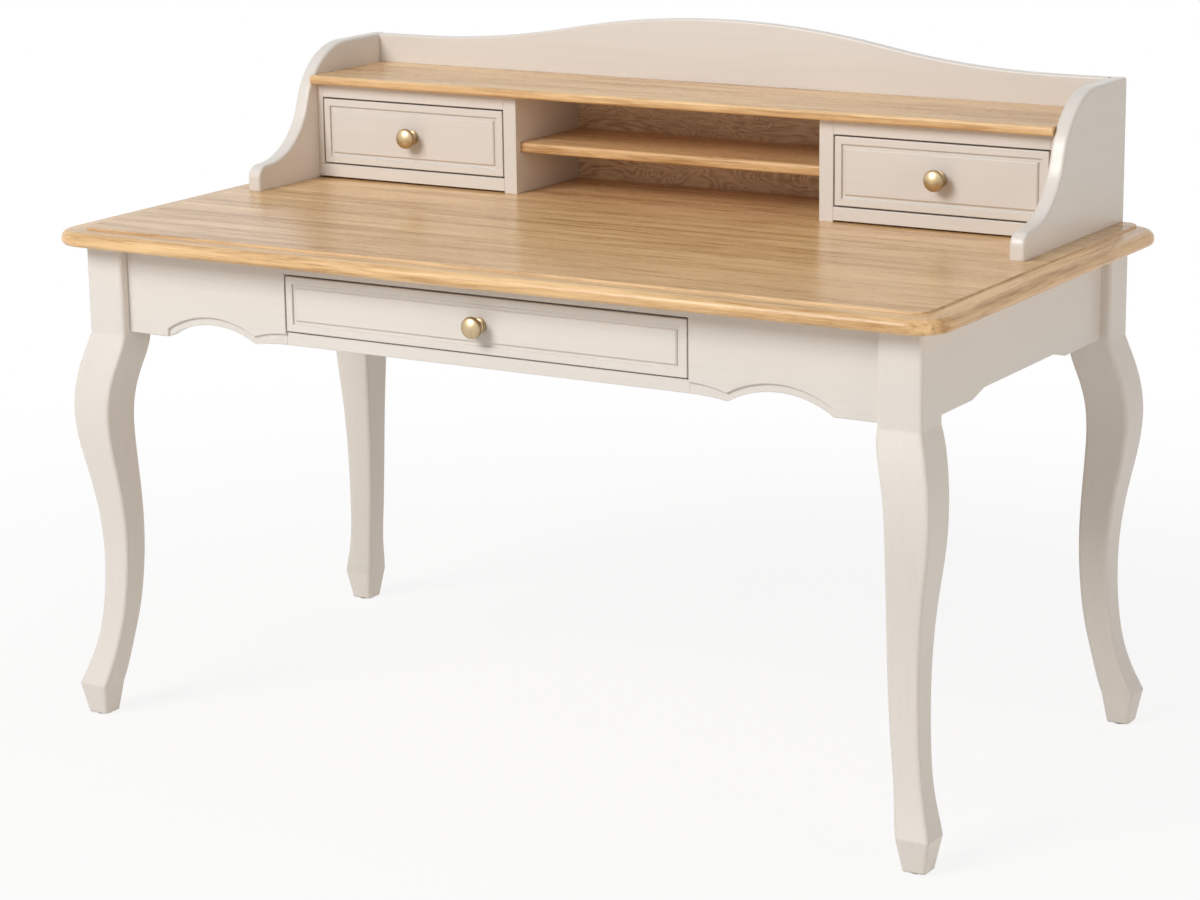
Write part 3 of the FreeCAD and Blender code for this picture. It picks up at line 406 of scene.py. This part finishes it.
def golden_oak(name, props, lipped=False):
    """Varnished oak: soft bands, streaks, fibres, flecks and rays along the board, and short open pores."""
    f = Finish(name)
    place = turn_at_lipping(f, props.lipping) if lipped else f.place

    def grain(along, across, detail, roughness, distortion=0.0):
        return f.noise(swells_along("X", along, across), detail, roughness, distortion, place)

    bands = grain(0.9, 13.0, detail=3.0, roughness=0.5, distortion=0.6)
    streaks = grain(2.4, 44.0, detail=5.0, roughness=0.66, distortion=0.35)
    fibres = grain(16.0, 350.0, detail=3.0, roughness=0.6)
    flecks = f.rise(grain(7.0, 100.0, detail=3.0, roughness=0.55, distortion=0.25), 0.55, 0.63)
    rays = f.rise(grain(5.0, 120.0, detail=3.0, roughness=0.55, distortion=0.2), 0.58, 0.66)
    pores = grain(60.0, 1350.0, detail=1.0, roughness=0.5)
    tone = bands * 0.22 + streaks * 0.54 + fibres * 0.24
    middle = between(props.pale, props.dark, 0.34)
    colour = f.ramp(tone, (0.38, tint(props.dark)), (0.49, tint(middle)), (0.60, tint(props.pale)))
    colour = f.mix(flecks * 0.36, colour, tint(props.dark))
    colour = f.mix(rays * 0.38, colour, tint(props.pale, 1.08))
    open_pores = f.rise(pores, 0.55, 0.70) * f.rise(streaks, 0.60, 0.40)
    colour = f.mix(open_pores * 0.35, colour, tint(props.pore))
    rounded, edge = f.eased(props.edge)
    # The oak is painted paler along its edges, as a painted highlight on the arrises and the nosing.
    painted_edge_highlight = edge * f.rise(streaks, 0.25, 0.60) * 0.6
    colour = f.mix(painted_edge_highlight, colour, tint(between(props.pale, WHITE, 0.60)))
    roughness = props.roughness - 0.05 + fibres * 0.10 + open_pores * 0.15 - edge * 0.05
    normal = f.bump(fibres * 0.35 - open_pores * 0.65, props.pore_depth, rounded)
    return f.close({
        "Base Color": colour, "Roughness": roughness, "Normal": normal, "Specular IOR Level": props.gloss,
    })


def figured_oak(name, props):
    """The hutch's back: oak veneer whose rings swirl."""
    f = Finish(name)
    swirl = f.noise((4.5, 4.5, 15.0), distortion=1.4)
    waves = swirl.maths("SINE", swirl * 170.0)
    fibres = f.noise((55.0, 300.0, 300.0), detail=3.0, roughness=0.6)
    tone = waves * 0.12 + swirl * 0.30 + fibres * 0.60
    pale = between(props.pale, props.limed, 0.36)
    dark = between(props.dark, pale, 0.40)
    colour = f.ramp(tone, (0.22, tint(dark)), (0.58, tint(pale, 1.18)))
    roughness = props.roughness + 0.10 + fibres * 0.2
    return f.close({"Base Color": colour, "Roughness": roughness, "Normal": f.bump(tone, props.pore_depth)})


def bare_pine(name, props, grain_axis):
    """Softwood of the inner parts, with wide rings and fine fibres."""
    f = Finish(name)
    rings = f.noise(swells_along(grain_axis, 1.2, 42.0), detail=3.0, distortion=0.5)
    fibres = f.noise(swells_along(grain_axis, 14.0, 480.0))
    tone = f.rise(rings, 0.46, 0.64) * 0.55 + fibres * 0.45
    colour = f.ramp(tone, (0.15, tint(props.pale)), (0.95, tint(props.dark)))
    roughness = fibres * 0.15 + 0.5
    return f.close({"Base Color": colour, "Roughness": roughness, "Normal": f.bump(tone, PINE_DEPTH)})


def turned_beech(name, props):
    """Dowels: smooth and close in the grain."""
    f = Finish(name)
    fibres = f.noise(swells_along("Y", 14.0, 480.0))
    colour = f.ramp(fibres, (0.30, tint(props.dark)), (0.60, tint(props.pale)))
    return f.close({"Base Color": colour, "Roughness": fibres * 0.15 + 0.45})


def birch_ply(name, props):
    """Drawer bottoms: a quiet face, and layers on the edges."""
    f = Finish(name)
    grain = f.noise(swells_along("X", 4.0, 90.0), detail=4.0, roughness=0.6, distortion=0.3)
    face = f.ramp(grain, (0.32, tint(props.ply, 0.84)), (0.68, tint(props.ply)))
    height = f.split(f.place, "Z")
    layer = height.maths("PINGPONG", height, props.ply_thick) / props.ply_thick
    edge = f.mix(f.rise(layer, 0.4, 0.6), tint(props.ply, 0.9), tint(props.ply, 0.55))
    level = f.rise(abs(f.facing("Z")), 0.6, 0.8)
    colour = f.mix(level, edge, face)
    roughness = grain * 0.14 + 0.52
    return f.close({"Base Color": colour, "Roughness": roughness, "Normal": f.bump(grain, PLY_DEPTH)})


def satin_brass(name, props):
    """Brass with a soft sheen, bright on the crown, and darker where it faces sideways and back: tarnished
    at the stem, and painted shade on the rim.
    """
    f = Finish(name)
    cloud = f.even_noise(75.0, detail=4.0, roughness=0.6)
    fine = f.even_noise(900.0)
    # Darker where the knob faces sideways and back: tarnished at the stem, and painted shade on the rim.
    rim_shade_and_neck_tarnish = f.rise(f.facing("Y"), -0.75, 0.10)
    dull = (f.rise(cloud, 0.45, 0.78) * 0.45).larger(rim_shade_and_neck_tarnish * 0.9)
    colour = f.mix(dull, tint(props.brass), tint(props.tarnish_and_rim_shade))
    roughness = dull * 0.06 + fine * 0.08 + 0.37
    normal = f.bump(fine, BRASS_DEPTH)
    return f.close({"Base Color": colour, "Metallic": 1.0, "Roughness": roughness, "Normal": normal})


def zinc_plate(name, props):
    """Smooth, bright plating with cloudy patches."""
    f = Finish(name)
    cloud = f.even_noise(160.0, detail=3.0)
    colour = f.ramp(cloud, (0.35, tint(props.zinc, 0.72)), (0.65, tint(props.zinc)))
    return f.close({"Base Color": colour, "Metallic": 1.0, "Roughness": cloud * 0.2 + 0.26})


def glide_nylon(name, props):
    """Moulded nylon, duller in fine specks and with a few scuffs."""
    f = Finish(name)
    specks = f.even_noise(1100.0)
    scuff = f.even_noise(90.0, detail=3.0)
    colour = f.ramp(scuff, (0.40, tint(props.nylon)), (0.75, tint(props.nylon, 2.2)))
    return f.close({"Base Color": colour, "Roughness": specks * 0.2 + 0.4})


# One operator for each group of like pieces
class DESK_OT_paint_legs(bpy.types.Operator):
    """Paint the four cabriole legs"""
    bl_idname = "desk.paint_legs"
    bl_label = "Paint the legs"

    def execute(self, context):
        props = context.scene.desk_paint
        wear(oyster_paint("oyster_paint_legs", props, "Z", props.leg_edge), *LEGS)
        return {"FINISHED"}


class DESK_OT_paint_aprons(bpy.types.Operator):
    """Paint the aprons and the rails round the front drawer"""
    bl_idname = "desk.paint_aprons"
    bl_label = "Paint the aprons"

    def execute(self, context):
        props = context.scene.desk_paint
        wear(oyster_paint("oyster_paint_aprons", props, "X", props.edge), *LONG_APRONS)
        wear(oyster_paint("oyster_paint_side_aprons", props, "Y", props.edge), *SIDE_APRONS)
        return {"FINISHED"}


class DESK_OT_paint_hutch(bpy.types.Operator):
    """Paint the hutch's ends, dividers, crest and drawer frames"""
    bl_idname = "desk.paint_hutch"
    bl_label = "Paint the hutch"

    def execute(self, context):
        props = context.scene.desk_paint
        wear(oyster_paint("oyster_paint_hutch_ends", props, "Y", props.leg_edge), *HUTCH_ENDS)
        wear(oyster_paint("oyster_paint_dividers", props, "Y", props.edge), *HUTCH_DIVIDERS)
        wear(oyster_paint("oyster_paint_hutch_rails", props, "X", props.edge), *HUTCH_RAILS)
        wear(oyster_paint("oyster_paint_hutch_stiles", props, "Z", props.edge), "hutch_stiles")
        return {"FINISHED"}


class DESK_OT_varnish_top(bpy.types.Operator):
    """Varnish the desk top, whose edge is lipped"""
    bl_idname = "desk.varnish_top"
    bl_label = "Varnish the top"

    def execute(self, context):
        wear(golden_oak("golden_oak_top", context.scene.desk_oak, lipped=True), "desk_top")
        return {"FINISHED"}


class DESK_OT_varnish_shelves(bpy.types.Operator):
    """Varnish the hutch's shelves and its figured back"""
    bl_idname = "desk.varnish_shelves"
    bl_label = "Varnish the shelves"

    def execute(self, context):
        props = context.scene.desk_oak
        wear(golden_oak("golden_oak_shelves", props), "hutch_shelf", "cubby_shelf")
        wear(figured_oak("figured_oak_back", props), "hutch_back_panel")
        return {"FINISHED"}


class DESK_OT_finish_drawers(bpy.types.Operator):
    """Paint the drawer fronts, and finish the boxes behind them"""
    bl_idname = "desk.finish_drawers"
    bl_label = "Finish the drawers"

    def execute(self, context):
        paint = context.scene.desk_paint
        wood = context.scene.desk_inner_wood
        finishes = {
            "front": oyster_paint("oyster_paint_drawer_fronts", paint, "X", paint.edge, bare=wood),
            "sides": bare_pine("drawer_side_pine", wood, "Y"),
            "back": bare_pine("drawer_back_pine", wood, "X"),
            "bottom": birch_ply("drawer_bottom_ply", wood),
        }
        for part, finish in finishes.items():
            wear(finish, *(f"{drawer}_{part}" for drawer in DRAWERS))
        return {"FINISHED"}


class DESK_OT_polish_knobs(bpy.types.Operator):
    """Give the knobs their satin brass"""
    bl_idname = "desk.polish_knobs"
    bl_label = "Polish the knobs"

    def execute(self, context):
        brass = satin_brass("satin_brass", context.scene.desk_hardware)
        wear(brass, *(f"{drawer}_knob" for drawer in DRAWERS))
        return {"FINISHED"}


class DESK_OT_finish_carcass(bpy.types.Operator):
    """Give bare wood to the runners, kickers, blocks, floors and dowels"""
    bl_idname = "desk.finish_carcass"
    bl_label = "Finish the inner parts"

    def execute(self, context):
        props = context.scene.desk_inner_wood
        wear(bare_pine("runner_pine", props, "Y"), *RUNNERS)
        wear(bare_pine("floor_pine", props, "X"), *FLOORS)
        wear(bare_pine("block_pine", props, "Z"), "corner_blocks")
        wear(turned_beech("dowel_beech", props), *DOWELS)
        return {"FINISHED"}


class DESK_OT_plate_fasteners(bpy.types.Operator):
    """Give the bolts, nuts and screws their zinc"""
    bl_idname = "desk.plate_fasteners"
    bl_label = "Plate the fasteners"

    def execute(self, context):
        zinc = zinc_plate("zinc_plate", context.scene.desk_hardware)
        wear(zinc, *FASTENERS, *(f"{drawer}_knob_screw" for drawer in DRAWERS))
        return {"FINISHED"}


class DESK_OT_finish_glides(bpy.types.Operator):
    """Give the foot glides their nylon"""
    bl_idname = "desk.finish_glides"
    bl_label = "Finish the glides"

    def execute(self, context):
        wear(glide_nylon("glide_nylon", context.scene.desk_hardware), "foot_glides")
        return {"FINISHED"}


class DESK_OT_build_studio(bpy.types.Operator):
    """Make the white floor, the room light, the softboxes and the camera"""
    bl_idname = "desk.build_studio"
    bl_label = "Build the studio"

    def execute(self, context):
        props = context.scene.desk_studio
        self.lay_floor()
        self.light_room(context.scene, props)
        self.hang_softbox("key_softbox", (-2.2, -5.8, 4.8), size=3.2, power=props.key_power)
        self.hang_softbox(
            "fill_softbox", (5.4, -1.2, 1.15), size=2.6, power=props.fill_power,
            colour=WARM_WHITE, mirrored=False)
        self.hang_softbox("top_softbox", (0.2, 0.6, 4.6), size=2.8, power=props.top_power)
        self.hang_softbox("back_softbox", (0.4, 6.2, 1.9), size=3.0, power=props.back_power, mirrored=False)
        self.place_camera(context.scene, props)
        context.scene.view_settings.view_transform = "Standard"
        return {"FINISHED"}

    @staticmethod
    def seen_directly(nodes):
        """1 where the camera, a reflection or glass sees a surface, and 0 where it only lights others."""
        camera = nodes.add("ShaderNodeLightPath", output="Is Camera Ray")
        return camera.larger(camera.beside("Is Glossy Ray")).larger(camera.beside("Is Transmission Ray"))

    def lay_floor(self):
        """A floor that looks white, and keeps the desk's shadow near the feet."""
        bpy.ops.object.select_all(action="DESELECT")
        bpy.ops.mesh.primitive_plane_add(size=FLOOR_SIZE)
        floor = bpy.context.object
        floor.name = "studio_floor"
        f = Finish("studio_floor_white")
        lit = f.add("ShaderNodeBsdfDiffuse", None, {"Color": tint(FLOOR_COLOUR)})
        white = f.add("ShaderNodeEmission", None, {"Color": tint(WHITE), "Strength": 1.0})
        distance = f.add("ShaderNodeVectorMath", {"operation": "LENGTH"}, {0: f.place}, "Value")
        whiteness = f.rise(distance, *SHADOW_FADES) * SHADOW_SHARE + (1.0 - SHADOW_SHARE)
        share = self.seen_directly(f) * whiteness
        surface = f.add("ShaderNodeMixShader", None, {0: share, 1: lit, 2: white})
        f.add("ShaderNodeOutputMaterial", None, {"Surface": surface})
        floor.data.materials.append(f.owner)

    def light_room(self, scene, props):
        """A room that looks white, and lights the desk evenly with the room light's strength."""
        scene.world = bpy.data.worlds.new("studio_room")
        w = Nodes(scene.world)
        strength = self.seen_directly(w) * (1.0 - props.room) + props.room
        light = w.add("ShaderNodeBackground", None, {"Color": tint(WHITE), "Strength": strength})
        w.add("ShaderNodeOutputWorld", None, {"Surface": light})

    def hang_softbox(self, name, place, size, power, colour=WHITE, mirrored=True):
        """A square lamp that faces the desk; one that isn't mirrored leaves no glare on the varnish."""
        bpy.ops.object.light_add(type="AREA", location=place)
        lamp = bpy.context.object
        lamp.name = name
        lamp.rotation_euler = (LAMPS_FACE - Vector(place)).to_track_quat("-Z", "Y").to_euler()
        lamp.data.size = size
        lamp.data.energy = power
        lamp.data.color = colour
        lamp.visible_glossy = mirrored

    def place_camera(self, scene, props):
        """A camera that looks along its azimuth and elevation, and leans by its roll."""
        level_back = Vector((math.sin(props.azimuth), -math.cos(props.azimuth), 0.0))
        back = level_back * math.cos(props.elevation) + Vector((0.0, 0.0, math.sin(props.elevation)))
        right = Vector((math.cos(props.azimuth), math.sin(props.azimuth), 0.0))
        level = Matrix((right, back.cross(right), back)).transposed()
        leaning = level @ Euler((0.0, 0.0, props.roll)).to_matrix()
        bpy.ops.object.camera_add(location=props.camera_place, rotation=leaning.to_euler())
        camera = bpy.context.object
        camera.name = "studio_camera"
        camera.data.sensor_fit = "HORIZONTAL"
        camera.data.sensor_width = SENSOR_WIDTH
        camera.data.lens = props.lens
        scene.camera = camera


OPERATORS = (
    DESK_OT_paint_legs,
    DESK_OT_paint_aprons,
    DESK_OT_paint_hutch,
    DESK_OT_varnish_top,
    DESK_OT_varnish_shelves,
    DESK_OT_finish_drawers,
    DESK_OT_polish_knobs,
    DESK_OT_finish_carcass,
    DESK_OT_plate_fasteners,
    DESK_OT_finish_glides,
    DESK_OT_build_studio,
)


class DESK_PT_finishes(bpy.types.Panel):
    """The desk's finishes, with their colours and sizes"""
    bl_idname = "DESK_PT_finishes"
    bl_label = "Writing Desk"
    bl_space_type = "VIEW_3D"
    bl_region_type = "UI"
    bl_category = "Desk"

    def draw(self, context):
        for operator in OPERATORS:
            self.layout.operator(operator.bl_idname)
        for name, group in SETTINGS.items():
            box = self.layout.box()
            for prop in group.__annotations__:
                box.prop(getattr(context.scene, name), prop)


CLASSES = (*SETTINGS.values(), *OPERATORS, DESK_PT_finishes)


def register():
    for cls in CLASSES:
        bpy.utils.register_class(cls)
    for name, group in SETTINGS.items():
        setattr(bpy.types.Scene, name, PointerProperty(type=group))


def unregister():
    for name in SETTINGS:
        delattr(bpy.types.Scene, name)
    for cls in reversed(CLASSES):
        bpy.utils.unregister_class(cls)


def main():
    register()
    bpy.ops.desk.paint_legs()
    bpy.ops.desk.paint_aprons()
    bpy.ops.desk.paint_hutch()
    bpy.ops.desk.varnish_top()
    bpy.ops.desk.varnish_shelves()
    bpy.ops.desk.finish_drawers()
    bpy.ops.desk.polish_knobs()
    bpy.ops.desk.finish_carcass()
    bpy.ops.desk.plate_fasteners()
    bpy.ops.desk.finish_glides()
    bpy.ops.desk.build_studio()


if __name__ == "__main__":
    main()
